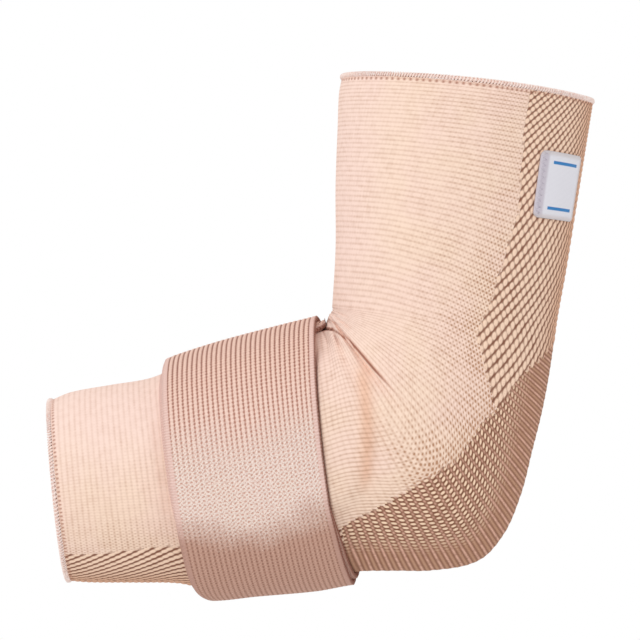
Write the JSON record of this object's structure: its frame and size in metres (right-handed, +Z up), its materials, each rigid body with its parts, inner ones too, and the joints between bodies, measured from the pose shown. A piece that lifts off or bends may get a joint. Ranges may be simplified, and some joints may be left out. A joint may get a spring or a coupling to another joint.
{
  "type": "knitted elbow support sleeve with an elastic forearm strap",
  "caption": "Bent elastic knit sleeve that covers the elbow, with a wide ribbed elastic strap wound round its forearm end and a small woven label on its upper arm.",
  "frame": {"origin": "middle of the elbow, inside the sleeve, where the wearer's arm holds it up", "axes": "+X towards the back of the elbow and -X down the forearm to the wrist end, +Z up the upper arm, +Y away from the camera side, so that the bent sleeve lies in the XZ plane"},
  "size_m": [0.2086, 0.0925, 0.2008],
  "materials": {
    "knit": "ribbed elastic knit, peach beige",
    "overlock": "overlocked thread edge, pale pink",
    "webbing": "ribbed woven elastic, rose beige",
    "hooks": "hook fastening tape, beige",
    "woven": "woven satin label, white"
  },
  "bodies": {
    "root": {"sleeve": "knit", "upper_hem": "overlock", "wrist_hem": "overlock", "strap": "webbing", "hook_tab": "hooks", "label": "woven"}
  },
  "joints": []
}
